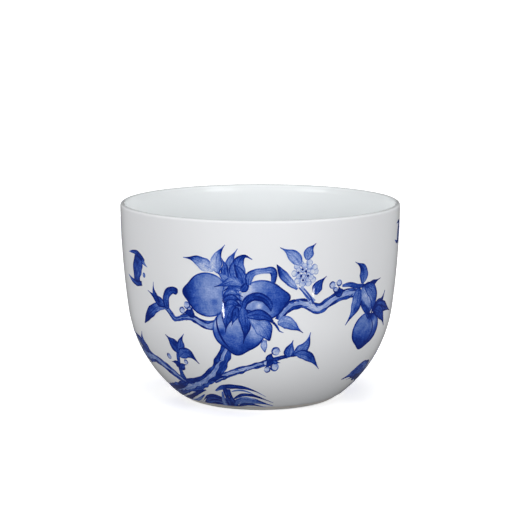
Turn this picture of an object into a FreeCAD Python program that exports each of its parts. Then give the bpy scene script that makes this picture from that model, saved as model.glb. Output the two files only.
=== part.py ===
import FreeCAD, Part
import math
import os

# A small handleless porcelain teacup, in millimetres.
# +Z is up and the origin is the centre of the foot on the table.
# Every piece is a body of revolution about Z: the clay bowl, the foot ring
# turned under it, and the thin coats of glaze that are fused over the clay.

# Driving dimensions
mouth_radius = 37.5        # outside of the glazed lip
height = 52.5              # table to the top of the lip
side_radius = 220.0        # the long, nearly upright arc of the upper wall
side_turn = 7.35           # degrees that the wall leans in by the end of that arc
belly_radius = 35.7        # the round lower wall, down to the table
lip_thickness = 1.5        # glaze to glaze, across the rounded lip
wall_thickness = 2.6       # glaze to glaze, where the two wall arcs meet
floor_level = 6.0          # the glazed floor inside
floor_curve = 12.0         # inside radius between the floor and the wall
glaze = 0.25               # thickness of the fired glaze
glaze_line = 1.0           # the outside glaze stops here, above the bare foot
well_depth = 3.0           # hollow turned under the cup
well_radius = 18.2         # inside of the foot ring
well_glaze_line = 0.9      # the glaze in the well stops here
foot_round = 0.45          # rounded edges of the foot's contact face

# Centres of the two wall arcs, each (radius from the axis, height)
turn = math.radians(side_turn)
side_centre = (mouth_radius - side_radius, height)
belly_centre = (
    side_centre[0] + (side_radius - belly_radius) * math.cos(turn),
    height - (side_radius - belly_radius) * math.sin(turn),
)


def point(place):
    """A point of the half-section: (radius, height) becomes (x, 0, z)."""
    return FreeCAD.Vector(place[0], 0, place[1])


def on_arc(centre, radius, angle):
    """The place on an arc at an angle below the horizontal, in radians."""
    return (centre[0] + radius * math.cos(angle), centre[1] - radius * math.sin(angle))


def angle_at_level(centre, radius, level):
    """The angle at which an arc about this centre passes a height."""
    return math.asin((centre[1] - level) / radius)


def arc(centre, radius, start, end):
    """An edge along an arc, between two angles below the horizontal."""
    places = [on_arc(centre, radius, a) for a in (start, (start + end) / 2, end)]
    return Part.Arc(*[point(p) for p in places]).toShape()


def arc_through(first, middle, last):
    """An edge along the arc through three places."""
    return Part.Arc(point(first), point(middle), point(last)).toShape()


def line(first, last):
    """A straight edge between two places."""
    return Part.LineSegment(point(first), point(last)).toShape()


def revolve(edges):
    """One solid, from the half-section that these edges close."""
    wire = Part.Wire(Part.__sortEdges__(edges))
    axis = FreeCAD.Vector(0, 0, 1)
    return Part.Face(wire).revolve(FreeCAD.Vector(0, 0, 0), axis, 360)


def lip_centre():
    """Centre of the half-round that finishes the lip."""
    return (mouth_radius - lip_thickness / 2, height - lip_thickness / 2)


def outside_edges(depth, lowest):
    """Outer wall from a level up to the lip, at a depth under the glaze."""
    lip_level = lip_centre()[1]
    lip_angle = angle_at_level(side_centre, side_radius - depth, lip_level)
    low_angle = angle_at_level(belly_centre, belly_radius - depth, lowest)
    edges = [
        arc(side_centre, side_radius - depth, lip_angle, turn),
        arc(belly_centre, belly_radius - depth, turn, low_angle),
    ]
    top = on_arc(side_centre, side_radius - depth, lip_angle)
    bottom = on_arc(belly_centre, belly_radius - depth, low_angle)
    return edges, top, bottom


def inside_edges(depth):
    """Inner wall and floor, at a depth under the glaze.

    From the lip an arc runs down to the belly's own centre line, where it
    joins an arc concentric with the belly. A tighter arc then turns it into
    the level floor. Each arc starts in the direction in which the last ended.
    """
    inner_radius = belly_radius - wall_thickness
    joint = on_arc(belly_centre, inner_radius, turn)
    lip = (mouth_radius - lip_thickness, lip_centre()[1])
    across = (lip[0] - joint[0], lip[1] - joint[1])
    lean = across[0] * math.cos(turn) - across[1] * math.sin(turn)
    upper_radius = -(across[0] ** 2 + across[1] ** 2) / (2 * lean)
    upper_centre = (
        joint[0] - upper_radius * math.cos(turn),
        joint[1] + upper_radius * math.sin(turn),
    )
    upper_start = angle_at_level(upper_centre, upper_radius + depth, lip[1])

    curve_level = floor_level + floor_curve
    drop = belly_centre[1] - curve_level
    reach = math.sqrt((inner_radius - floor_curve) ** 2 - drop**2)
    curve_centre = (belly_centre[0] + reach, curve_level)
    curve_turn = math.atan2(drop, reach)

    floor_edge = (curve_centre[0], floor_level - depth)
    centre = (0, floor_level - depth)
    edges = [
        arc(upper_centre, upper_radius + depth, upper_start, turn),
        arc(belly_centre, inner_radius + depth, turn, curve_turn),
        arc(curve_centre, floor_curve + depth, curve_turn, math.pi / 2),
        line(floor_edge, centre),
    ]
    top = on_arc(upper_centre, upper_radius + depth, upper_start)
    return edges, top, centre


def porcelain_bowl():
    """The fired clay wall and floor, closed below by the plane of the foot."""
    outer, outer_top, outer_foot = outside_edges(glaze, well_depth)
    inner, inner_top, inner_centre = inside_edges(glaze)
    crest = (lip_centre()[0], height - glaze)
    under = (0, well_depth)
    closing = [
        arc_through(outer_top, crest, inner_top),
        line(inner_centre, under),
        line(under, outer_foot),
    ]
    return revolve(outer + inner + closing)


def foot_ring():
    """The bare ring that the cup stands on, with rounded contact edges."""
    radius = belly_radius - glaze
    high = angle_at_level(belly_centre, radius, well_depth)
    low = angle_at_level(belly_centre, radius, foot_round)
    outer_high = on_arc(belly_centre, radius, high)
    outer_low = on_arc(belly_centre, radius, low)
    outer_flat = (outer_low[0] - 2 * foot_round, 0)
    outer_middle = (outer_low[0] - 0.8 * foot_round, 0.22 * foot_round)
    inner_high = (well_radius, well_depth)
    inner_low = (well_radius, foot_round)
    inner_flat = (well_radius + foot_round, 0)
    bevel = foot_round * (1 - math.sqrt(0.5))
    inner_middle = (well_radius + bevel, bevel)
    edges = [
        arc(belly_centre, radius, high, low),
        arc_through(outer_low, outer_middle, outer_flat),
        line(outer_flat, inner_flat),
        arc_through(inner_flat, inner_middle, inner_low),
        line(inner_low, inner_high),
        line(inner_high, outer_high),
    ]
    return revolve(edges)


def outer_glaze():
    """The dipped coat, from just above the foot to the crest of the lip."""
    face, face_top, face_foot = outside_edges(0, glaze_line)
    back, back_top, back_foot = outside_edges(glaze, glaze_line)
    middle = lip_centre()
    crest = (middle[0], height)
    under_crest = (middle[0], height - glaze)
    slant = math.sqrt(0.5)
    outer_bend = (middle[0] + lip_thickness / 2 * slant, middle[1] + lip_thickness / 2 * slant)
    clay_radius = lip_thickness / 2 - glaze
    clay_bend = (middle[0] + clay_radius * slant, middle[1] + clay_radius * slant)
    closing = [
        arc_through(face_top, outer_bend, crest),
        line(crest, under_crest),
        arc_through(under_crest, clay_bend, back_top),
        line(back_foot, face_foot),
    ]
    return revolve(face + back + closing)


def inner_glaze():
    """The poured coat, from the crest of the lip to the floor's centre."""
    face, face_top, face_centre = inside_edges(0)
    back, back_top, back_centre = inside_edges(glaze)
    middle = lip_centre()
    crest = (middle[0], height)
    under_crest = (middle[0], height - glaze)
    slant = math.sqrt(0.5)
    inner_bend = (middle[0] - lip_thickness / 2 * slant, middle[1] + lip_thickness / 2 * slant)
    clay_radius = lip_thickness / 2 - glaze
    clay_bend = (middle[0] - clay_radius * slant, middle[1] + clay_radius * slant)
    closing = [
        arc_through(face_top, inner_bend, crest),
        line(crest, under_crest),
        arc_through(under_crest, clay_bend, back_top),
        line(back_centre, face_centre),
    ]
    return revolve(face + back + closing)


def well_glaze():
    """The coat in the hollow under the cup: its roof and the ring's inside."""
    roof = well_depth - glaze
    inner = well_radius - glaze
    edges = [
        line((0, well_depth), (well_radius, well_depth)),
        line((well_radius, well_depth), (well_radius, well_glaze_line)),
        line((well_radius, well_glaze_line), (inner, well_glaze_line)),
        line((inner, well_glaze_line), (inner, roof)),
        line((inner, roof), (0, roof)),
        line((0, roof), (0, well_depth)),
    ]
    return revolve(edges)


pieces = {
    "porcelain_bowl": porcelain_bowl(),
    "foot_ring": foot_ring(),
    "outer_glaze": outer_glaze(),
    "inner_glaze": inner_glaze(),
    "well_glaze": well_glaze(),
}

os.makedirs("parts", exist_ok=True)
for name, shape in pieces.items():
    shape.exportStep("parts/" + name + ".step")
    print(name, "valid", shape.isValid(), "volume", round(shape.Volume, 1))
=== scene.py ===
import math

import bpy
import numpy as np
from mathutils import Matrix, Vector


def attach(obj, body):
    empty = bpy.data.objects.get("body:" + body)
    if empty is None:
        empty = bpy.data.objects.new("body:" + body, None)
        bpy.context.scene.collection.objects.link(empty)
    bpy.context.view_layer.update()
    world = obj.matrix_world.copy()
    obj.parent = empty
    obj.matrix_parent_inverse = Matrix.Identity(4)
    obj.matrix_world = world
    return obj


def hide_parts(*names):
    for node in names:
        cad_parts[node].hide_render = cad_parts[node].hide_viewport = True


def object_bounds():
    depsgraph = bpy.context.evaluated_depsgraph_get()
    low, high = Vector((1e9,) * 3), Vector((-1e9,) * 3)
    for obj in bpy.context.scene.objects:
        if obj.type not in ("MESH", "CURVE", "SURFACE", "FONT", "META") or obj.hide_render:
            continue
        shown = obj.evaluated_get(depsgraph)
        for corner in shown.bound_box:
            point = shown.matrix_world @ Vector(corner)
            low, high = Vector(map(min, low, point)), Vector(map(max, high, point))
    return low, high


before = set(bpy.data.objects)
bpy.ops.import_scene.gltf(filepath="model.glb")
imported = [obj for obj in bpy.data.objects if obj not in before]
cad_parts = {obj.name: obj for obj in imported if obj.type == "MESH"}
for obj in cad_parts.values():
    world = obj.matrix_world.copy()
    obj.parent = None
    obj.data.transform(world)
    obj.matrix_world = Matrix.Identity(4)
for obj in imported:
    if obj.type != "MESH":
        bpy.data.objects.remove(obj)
cad_box = [list(map(float, corner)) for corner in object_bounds()]


# ---------------------------------------------------------------- the table
# A plain pale table top that carries nothing else. It only shows to the eye:
# the light that it would throw back up is part of the room's own light.
table_size = 40.0
table_mesh = bpy.data.meshes.new("table_top")
half = table_size / 2
table_mesh.from_pydata(
    [(-half, -half, 0), (half, -half, 0), (half, half, 0), (-half, half, 0)], [], [(0, 1, 2, 3)]
)
table = bpy.data.objects.new("table_top", table_mesh)
bpy.context.collection.objects.link(table)
table.visible_diffuse = False
table.visible_glossy = False
table.visible_shadow = False
table_finish = bpy.data.materials.new("table_finish")
table_finish.use_nodes = True
table_inputs = table_finish.node_tree.nodes["Principled BSDF"].inputs
table_inputs["Base Color"].default_value = (0.93, 0.93, 0.94, 1)
table_inputs["Roughness"].default_value = 0.9
table_inputs["Specular IOR Level"].default_value = 0.0
table_inputs["Emission Color"].default_value = (1, 1, 1, 1)
table_inputs["Emission Strength"].default_value = 0.5
table_mesh.materials.append(table_finish)


# ------------------------------------------------------- camera and lights
# The camera stands nine cup heights away and looks down by about ten and a
# half degrees. Broad soft light comes from both sides, from behind and from
# above, and two soft boxes and two small lamps mirror in the glaze.
height = cad_box[1][2]
camera_data = bpy.data.cameras.new("camera")
camera = bpy.data.objects.new("camera", camera_data)
bpy.context.collection.objects.link(camera)
camera_distance = 9.0 * height
camera_height = 2.188 * height
aim_height = 0.5 * height
camera.location = (0, -camera_distance, camera_height)
look_down = math.atan2(camera_height - aim_height, camera_distance)
camera.rotation_euler = (math.pi / 2 - look_down, 0, 0)
camera_data.sensor_width = 36
camera_data.lens = 122.96
camera_data.shift_x = -0.0004
camera_data.shift_y = 0.0713
bpy.context.scene.camera = camera
bpy.context.scene.view_settings.view_transform = "Standard"


def aim_light(name, kind, azimuth, elevation, distance=0.0):
    """A light at an angle about the cup, in degrees: azimuth 0 is the front."""
    light_data = bpy.data.lights.new(name, kind)
    light = bpy.data.objects.new(name, light_data)
    bpy.context.collection.objects.link(light)
    turn = math.radians(azimuth)
    lift = math.radians(elevation)
    light.location = (
        distance * math.sin(turn) * math.cos(lift),
        -distance * math.cos(turn) * math.cos(lift),
        aim_height + distance * math.sin(lift),
    )
    light.rotation_euler = (math.pi / 2 - lift, 0, turn)
    return light, light_data


def window(name, azimuth, elevation, strength):
    """Broad even light from far off, too soft to mirror in the glaze."""
    light, light_data = aim_light(name, "SUN", azimuth, elevation)
    light_data.angle = math.radians(40)
    light_data.energy = strength
    light.visible_glossy = False


def gleam(name, azimuth, elevation, size, radiance):
    """A lamp that only mirrors in the glaze, at arm's length from the cup.

    size is its width and height in degrees as the cup sees it. The power is
    the radiance times pi times the area of the ellipse.
    """
    arm = 0.8
    light, light_data = aim_light(name, "AREA", azimuth, elevation, arm)
    width, tall = (arm * math.radians(angle) for angle in size)
    light_data.shape = "ELLIPSE"
    light_data.size = width
    light_data.size_y = tall
    light_data.energy = radiance * math.pi * (math.pi / 4 * width * tall)
    light.visible_diffuse = False
    light.visible_camera = False


for side, name in ((-1, "left"), (1, "right")):
    window(name + "_window", side * 45, 15, 2.03)
    window(name + "_side_light", side * 105, 15, 0.2)
    window(name + "_back_light", side * 150, 5, 1.15)
window("sky_light", 0, 89, 0.7)
gleam("left_soft_box", -50, 19, (28, 11), 2.9)
gleam("right_soft_box", 38, 19, (28, 11), 2.9)
gleam("left_lamp", -31, -21.4, (1.5, 2.6), 26.0)
gleam("right_lamp", 44.6, -18, (1.6, 1.3), 16.0)


def add(tree, kind, inputs=None, **settings):
    """Adds a node. Each input takes another node's socket or a plain value."""
    node = tree.nodes.new("ShaderNode" + kind)
    for name, value in settings.items():
        setattr(node, name, value)
    for name, value in (inputs or {}).items():
        if isinstance(value, bpy.types.NodeSocket):
            tree.links.new(value, node.inputs[name])
        else:
            node.inputs[name].default_value = value
    return node


def slope(tree, value, start, end, first=0.0, last=1.0, **settings):
    """Turns a value that runs from start to end into one from first to last."""
    return add(tree, "MapRange", {"Value": value, 1: start, 2: end, 3: first, 4: last}, **settings).outputs[0]


room = bpy.data.worlds.new("room")
bpy.context.scene.world = room
room.use_nodes = True
room_tree = room.node_tree
room_tree.nodes.clear()
sky_level = add(room_tree, "SeparateXYZ", {0: add(room_tree, "TexCoord").outputs["Generated"]}).outputs["Z"]
climb = slope(room_tree, sky_level, -0.1, 0.1, 0.085, 0.14)
room_light = add(room_tree, "Background", {"Color": (0.98, 0.99, 1.0, 1), "Strength": climb}).outputs[0]
backdrop = add(room_tree, "Background", {"Color": (1.0, 1.0, 1.0, 1)}).outputs[0]
seen = add(room_tree, "LightPath").outputs["Is Camera Ray"]
room_view = add(room_tree, "MixShader", {0: seen, 1: room_light, 2: backdrop}).outputs[0]
add(room_tree, "OutputWorld", {"Surface": room_view})


# ------------------------------------------------------------ the bowl's clay
# The fired white clay of wall and floor. It is thrown and turned in one piece
# and lies under the glaze everywhere, so it keeps its own plain shape.
def new_group(name, inputs, outputs):
    """A node group with named sockets: (name, kind, first value) for inputs."""
    tree = bpy.data.node_groups.new(name, "ShaderNodeTree")
    for title, kind, value in inputs:
        socket = tree.interface.new_socket(title, in_out="INPUT", socket_type="NodeSocket" + kind)
        socket.default_value = value
    for title, kind in outputs:
        tree.interface.new_socket(title, in_out="OUTPUT", socket_type="NodeSocket" + kind)
    return tree, tree.nodes.new("NodeGroupInput").outputs, tree.nodes.new("NodeGroupOutput").inputs


def calculate(tree, operation, *terms):
    """One step of arithmetic on sockets and plain values."""
    return add(tree, "Math", dict(enumerate(terms)), operation=operation).outputs[0]


def noise(tree, place, scale, detail):
    """Cloudy noise about a half, with so many clouds to the metre."""
    return add(tree, "TexNoise", {"Vector": place, "Scale": scale, "Detail": detail}).outputs[0]


def clay_group():
    """White porcelain: a faint cloudy tint, rare iron specks and a fine grain.

    Along the crest of the lip it is greyer, a painted shade on the lip's edge.
    """
    tree, given, out = new_group(
        "fired_white",
        [
            ("White", "Color", (0.83, 0.84, 0.86, 1)),
            ("Cloud", "Float", 0.02),
            ("Specks", "Float", 0.5),
            ("Lip crest painted shade", "Float", 0.28),
        ],
        [("Color", "Color"), ("Height", "Float")],
    )
    place = add(tree, "TexCoord").outputs["Object"]
    deep = calculate(tree, "SUBTRACT", noise(tree, place, 90.0, 3.0), 0.5)
    wave = calculate(tree, "MULTIPLY_ADD", deep, given["Cloud"], 1.0)
    cells = add(tree, "TexVoronoi", {"Vector": place, "Scale": 420.0}).outputs
    rare = calculate(tree, "GREATER_THAN", cells["Color"], 0.965)
    near = calculate(tree, "LESS_THAN", cells["Distance"], 0.09)
    amount = calculate(tree, "MULTIPLY", calculate(tree, "MULTIPLY", rare, near), given["Specks"])
    level = add(tree, "SeparateXYZ", {0: place}).outputs["Z"]
    # Painted shade: within about 0.4 mm below the crest of the lip the white is darkened, on top of the
    # specks.
    specks_and_lip_shade = calculate(tree, "MULTIPLY_ADD", slope(tree, level, 0.0521, 0.0525), given["Lip crest painted shade"], amount)
    keep = calculate(tree, "SUBTRACT", wave, specks_and_lip_shade)
    tint = add(tree, "VectorMath", {0: given["White"], "Scale": keep}, operation="SCALE")
    tree.links.new(tint.outputs[0], out["Color"])
    tree.links.new(noise(tree, place, 260.0, 1.0), out["Height"])
    return tree


fired_white = clay_group()


def finish_material(name, roughness, coat):
    """A material with its Principled shader ready: coat is the fired glaze."""
    material = bpy.data.materials.new(name)
    material.use_nodes = True
    tree = material.node_tree
    shader = tree.nodes["Principled BSDF"]
    shader.inputs["Roughness"].default_value = roughness
    shader.inputs["IOR"].default_value = 1.5
    shader.inputs["Specular IOR Level"].default_value = 0.0 if coat else 0.3
    shader.inputs["Coat Weight"].default_value = coat
    shader.inputs["Coat Roughness"].default_value = 0.04
    return material, tree, shader


def raise_grain(tree, shader, height, strength, distance=0.0001):
    """Lets a height stand up by a distance in metres, as bump."""
    relief = add(tree, "Bump", {"Height": height, "Strength": strength, "Distance": distance})
    tree.links.new(relief.outputs[0], shader.inputs["Normal"])


def white_material(name, roughness, coat, cloud, specks, bump, tint=(0.83, 0.84, 0.86, 1)):
    """White clay or white under glaze, from the fired_white group."""
    material, tree, shader = finish_material(name, roughness, coat)
    given = {"White": tint, "Cloud": cloud, "Specks": specks}
    white = add(tree, "Group", given, node_tree=fired_white).outputs
    tree.links.new(white["Color"], shader.inputs["Base Color"])
    raise_grain(tree, shader, white["Height"], bump)
    return material


clay_finish = white_material("fired_clay", 0.55, 0.0, 0.04, 0.6, 0.5)
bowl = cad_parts["porcelain_bowl"]
bowl.data.materials.clear()
bowl.data.materials.append(clay_finish)


# ------------------------------------------------------- the glaze outside
# The clear coat that the cup is dipped in, over the white clay. It ends just
# above the foot in a soft bead, and over the lip it meets the coat inside.
mouth_radius = 1000 * cad_box[1][0]
cup_height = 1000 * height
side_radius = 220.0
side_turn = math.radians(7.35)
belly_radius = 35.7
lip_thickness = 1.5
wall_thickness = 2.6
glaze_thickness = 0.25
glaze_line = 1.0
paint_room = 0.12
side_centre = (mouth_radius - side_radius, cup_height)
belly_centre = (
    side_centre[0] + (side_radius - belly_radius) * math.cos(side_turn),
    side_centre[1] - (side_radius - belly_radius) * math.sin(side_turn),
)
joint_level = cup_height - side_radius * math.sin(side_turn)


def wall_place(up, depth):
    """Outer wall at heights up: two arcs, long above and round below.

    Gives the radius and height of the point that lies depth under the face,
    and the angle by which the wall leans in there.
    """
    up = np.asarray(up, float)
    high = up > joint_level
    arc_radius = np.where(high, side_radius, belly_radius)
    across = np.where(high, side_centre[0], belly_centre[0])
    level = np.where(high, side_centre[1], belly_centre[1])
    lean = np.arcsin(np.clip((level - up) / arc_radius, -1, 1))
    radius = across + (arc_radius - depth) * np.cos(lean)
    return radius, level - (arc_radius - depth) * np.sin(lean), lean


def turned(name, profile, steps=480):
    """A closed skin: a closed half-section in millimetres, turned about Z.

    profile is rows of (radius, height), up the outer side and down the inner,
    so that the faces point outwards. Where both its ends lie on the axis, each
    becomes one point there, and otherwise its last row joins its first.
    """
    profile = np.asarray(profile, float) / 1000
    angles = np.arange(steps) * 2 * math.pi / steps
    polar = profile[0, 0] < 1e-9 and profile[-1, 0] < 1e-9
    rows = profile[1:-1] if polar else profile
    ring = np.stack([np.sin(angles), -np.cos(angles)], -1)
    flat = rows[:, None, :1] * ring[None]
    rise = np.broadcast_to(rows[:, None, 1:], (len(rows), steps, 1))
    points = np.concatenate([flat, rise], -1).reshape(-1, 3)
    number = np.arange(len(rows) * steps).reshape(len(rows), steps)
    if not polar:
        number = np.concatenate([number, number[:1]])
    beside = np.roll(number, -1, 1)
    faces = np.stack([number[:-1], beside[:-1], beside[1:], number[1:]], -1).reshape(-1, 4).tolist()
    if polar:
        first, last = len(points), len(points) + 1
        points = np.concatenate([points, [[0, 0, profile[0, 1]], [0, 0, profile[-1, 1]]]])
        faces += np.stack([np.full(steps, first), beside[0], number[0]], -1).tolist()
        faces += np.stack([np.full(steps, last), number[-1], beside[-1]], -1).tolist()
    mesh = bpy.data.meshes.new(name)
    mesh.from_pydata(points.tolist(), [], faces)
    mesh.shade_smooth()
    mesh.set_sharp_from_angle(angle=math.radians(40))
    piece = bpy.data.objects.new(name, mesh)
    bpy.context.collection.objects.link(piece)
    return piece


def arc_rows(centre, radius, start, end, count):
    """Rows along an arc: angles in degrees, 0 outwards and 90 up."""
    angle = np.radians(np.linspace(start, end, count))
    return np.stack([centre[0] + radius * np.cos(angle), centre[1] + radius * np.sin(angle)], -1)


lip_radius = lip_thickness / 2
lip_centre = (mouth_radius - lip_radius, cup_height - lip_radius)
up_face = np.linspace(glaze_line + 0.3, lip_centre[1], 116)
face_radius, face_height, _ = wall_place(up_face, paint_room)
face = np.stack([face_radius, face_height], -1)
bead = np.stack(wall_place(np.full(2, glaze_line + 0.05), np.array([0.22, 0.17]))[:2], -1)
lip_outside = arc_rows(lip_centre, lip_radius - paint_room, 0, 90, 8)[1:]
back_radius, back_height, _ = wall_place(np.linspace(lip_centre[1], glaze_line, 24), glaze_thickness)
back = np.stack([back_radius, back_height], -1)
lip_back = arc_rows(lip_centre, lip_radius - glaze_thickness, 90, 0, 6)[:-1]
outer_skin = turned("glaze_outside", np.concatenate([bead, face, lip_outside, lip_back, back]))
glazed_white = white_material("glazed_white", 0.3, 1.0, 0.02, 0.5, 0.25)
outer_skin.data.materials.append(glazed_white)
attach(outer_skin, "root")
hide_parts("outer_glaze")


# -------------------------------------------------------- the glaze inside
# The coat that is poured in and swirled round: from the crest of the lip down
# the wall and over the rounded corner to the floor, pooled a little there.
floor_level = 6.0
floor_curve = 12.0
inner_radius = belly_radius - wall_thickness
joint = (
    belly_centre[0] + inner_radius * math.cos(side_turn),
    belly_centre[1] - inner_radius * math.sin(side_turn),
)
lip_inside = (mouth_radius - lip_thickness, lip_centre[1])
across_wall = (lip_inside[0] - joint[0], lip_inside[1] - joint[1])
wall_lean = across_wall[0] * math.cos(side_turn) - across_wall[1] * math.sin(side_turn)
upper_radius = -(across_wall[0] ** 2 + across_wall[1] ** 2) / (2 * wall_lean)
upper_centre = (
    joint[0] - upper_radius * math.cos(side_turn),
    joint[1] + upper_radius * math.sin(side_turn),
)
curve_drop = belly_centre[1] - floor_level - floor_curve
curve_reach = math.sqrt((inner_radius - floor_curve) ** 2 - curve_drop**2)
curve_centre = (belly_centre[0] + curve_reach, floor_level + floor_curve)
curve_turn = math.degrees(math.atan2(curve_drop, curve_reach))
lip_slope = math.degrees(math.asin((upper_centre[1] - lip_inside[1]) / upper_radius))
joint_slope = math.degrees(side_turn)


def inside_rows(depth, fine):
    """The inner wall from the lip to the axis, depth under its face.

    Three arcs, each starting in the direction in which the last one ended,
    and a floor that dips towards its middle by a tenth of a millimetre.
    """
    floor_radius = np.linspace(curve_centre[0], 0, 8 * fine)[1:]
    dip = 0.1 * np.sin(floor_radius / curve_centre[0] * math.pi / 2 + math.pi / 2) * (depth == 0)
    return np.concatenate(
        [
            arc_rows(upper_centre, upper_radius + depth, -lip_slope, -joint_slope, 14 * fine)[:-1],
            arc_rows(belly_centre, inner_radius + depth, -joint_slope, -curve_turn, 8 * fine)[:-1],
            arc_rows(curve_centre, floor_curve + depth, -curve_turn, -90, 8 * fine),
            np.stack([floor_radius, floor_level - depth + 0.1 * (depth == 0) - dip], -1),
        ]
    )


lip_inner_face = arc_rows(lip_centre, lip_radius, 90, 180, 9)[:-1]
lip_inner_back = arc_rows(lip_centre, lip_radius - glaze_thickness, 90, 180, 5)[:-1]
poured_face = np.concatenate([lip_inner_face, inside_rows(0, 3)])
thinned = np.clip((poured_face[:, 1] - 50.0) / 1.75, 0, 1) ** 2
toward_crest = np.clip((lip_centre[0] - poured_face[:, 0]) / lip_radius, 0, 1)
poured_face[:, 0] += 0.2 * thinned * toward_crest
poured_back = np.concatenate([lip_inner_back, inside_rows(glaze_thickness, 1)])
inner_skin = turned("glaze_inside", np.concatenate([poured_back[::-1], poured_face]))
# Painted shade: the poured coat's white is darker than the outside's, for the dimmer inside of the cup.
poured_white_with_painted_shade = white_material("poured_white_with_painted_shade", 0.3, 1.0, 0.02, 0.5, 0.25, (0.785, 0.81, 0.82, 1))
inner_skin.data.materials.append(poured_white_with_painted_shade)
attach(inner_skin, "root")
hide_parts("inner_glaze")


# ------------------------------------------------------------ the foot ring
# Bare fired clay, wiped clean of glaze so that the cup doesn't stick to the
# kiln shelf. It shows a fine grit and a warm toasted line where the glaze
# stops.
well_depth = 3.0
well_radius = 18.2
foot_round = 0.45
ring_up = np.linspace(0.14, well_depth, 12)
ring_outside = np.stack(wall_place(ring_up, glaze_thickness)[:2], -1)[::-1]
ring_edge = ring_outside[-1] - [(0.12, 0.07), (0.24, 0.115), (0.4, 0.14)]
ring_inner_corner = (well_radius + foot_round, foot_round)
contact = np.linspace(ring_edge[-1, 0], ring_inner_corner[0], 14)[1:-1]
contact_rows = np.stack([contact, 0.012 * (1 - np.cos(contact * 16))], -1)
ring_inner_edge = arc_rows(ring_inner_corner, foot_round, -90, -180, 7)
ring_top = [(well_radius, well_depth)]
foot_profile = np.concatenate([ring_outside, ring_edge, contact_rows, ring_inner_edge, ring_top])
foot = turned("foot_of_bare_clay", foot_profile[::-1])


def biscuit_material():
    """Bare porcelain: chalky, gritty, a little dirty, toasted by the glaze, and a darker grey than the glazed
    white as painted shade where the foot meets the floor.
    """
    material, tree, shader = finish_material("bare_biscuit", 0.7, 0.0)
    place = add(tree, "TexCoord").outputs["Object"]
    level = add(tree, "SeparateXYZ", {0: place}).outputs["Z"]
    worn = noise(tree, place, 300.0, 4.0)
    toast = calculate(tree, "MULTIPLY", slope(tree, level, 0.0006, 0.0011, 0.0, 0.6), worn)
    # Painted shade: the bare clay's white is set darker than the glazed white, for the shade low on the foot
    # by the floor.
    given = {"White": (0.74, 0.73, 0.71, 1), "Cloud": 0.08, "Specks": 0.8}
    white = add(tree, "Group", given, node_tree=fired_white).outputs["Color"]
    mixed = {0: toast, 6: white, 7: (0.62, 0.42, 0.26, 1)}
    warm = add(tree, "Mix", mixed, data_type="RGBA").outputs[2]
    mixed = {0: slope(tree, worn, 0.55, 0.75, 0.0, 0.35), 6: warm, 7: (0.45, 0.42, 0.38, 1)}
    dirt_and_painted_shade = add(tree, "Mix", mixed, data_type="RGBA").outputs[2]
    tree.links.new(dirt_and_painted_shade, shader.inputs["Base Color"])
    raise_grain(tree, shader, noise(tree, place, 2400.0, 3.0), 0.5, 0.00006)
    return material


foot.data.materials.append(biscuit_material())
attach(foot, "root")
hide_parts("foot_ring")


# ------------------------------------------------------- the glaze in the foot
# A thin coat inside the hollow foot. The turning tool has left a low button
# in the middle and shallow rings that the glaze only half fills.
well_glaze_line = 0.9
roof = well_depth - glaze_thickness
cove = 0.9
cove_centre = (well_radius - glaze_thickness - cove, roof - cove)
roof_radius = np.linspace(cove_centre[0], 0, 90)[1:]
rings = 0.03 * np.sin(roof_radius * 2.1) * np.clip(roof_radius / 3, 0, 1)
button = 0.25 * np.exp(-((roof_radius / 1.8) ** 2))
well_face = np.concatenate(
    [
        [(well_radius, well_glaze_line), (well_radius - 0.12, well_glaze_line - 0.04)],
        [(well_radius - glaze_thickness, well_glaze_line + 0.12)],
        arc_rows(cove_centre, cove, 0, 90, 12),
        np.stack([roof_radius, roof - 0.03 + rings - button], -1),
    ]
)
well_back = [(0, well_depth), (well_radius, well_depth)]
well_skin = turned("glaze_in_foot", np.concatenate([well_back, well_face])[::-1])
well_skin.data.materials.append(glazed_white)
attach(well_skin, "root")
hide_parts("well_glaze")


# ------------------------------------------------------ the painted branches
# Cobalt blue, brushed on the raw clay before the cup is glazed: the trunk that
# leans in from the left, with its boughs and twigs. Each is two dark contours,
# dragged with a dry brush over a pale wash.
def smooth_line(points, count):
    """Evenly spaced places on the Catmull-Rom curve through the points."""
    points = np.asarray(points, float)
    before = 2 * points[:1] - points[1:2]
    after = 2 * points[-1:] - points[-2:-1]
    knots = np.concatenate([before, points, after])
    place = np.linspace(0, len(points) - 1, 24 * (len(points) - 1) + 1)
    step = np.minimum(place.astype(int), len(points) - 2)
    part = (place - step)[:, None]
    a, b, c, d = (knots[step + k] for k in range(4))
    square = 2 * a - 5 * b + 4 * c - d
    cube = 3 * b - a - 3 * c + d
    curve = b + 0.5 * (part * (c - a) + part**2 * square + part**3 * cube)
    run = np.concatenate([[0], np.cumsum(np.hypot(*np.diff(curve, axis=0).T))])
    even = np.linspace(0, run[-1], count)
    return np.stack([np.interp(even, run, curve[:, k]) for k in (0, 1)], -1), run[-1]


def spread(values, share):
    """Values given evenly along a mark, smoothly read off at each share of it."""
    values = np.atleast_1d(np.asarray(values, float))
    if len(values) == 1:
        return np.full_like(share, values[0])
    line, _ = smooth_line(np.stack([np.arange(len(values)) * 100.0, values], -1), 400)
    return np.interp(share * 100 * (len(values) - 1), line[:, 0], line[:, 1])


def wall_scale(up):
    """True millimetres on the wall for one of around and one of up."""
    radius, _, lean = wall_place(up, 0)
    return radius / mouth_radius, 1 / np.cos(lean)


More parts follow.
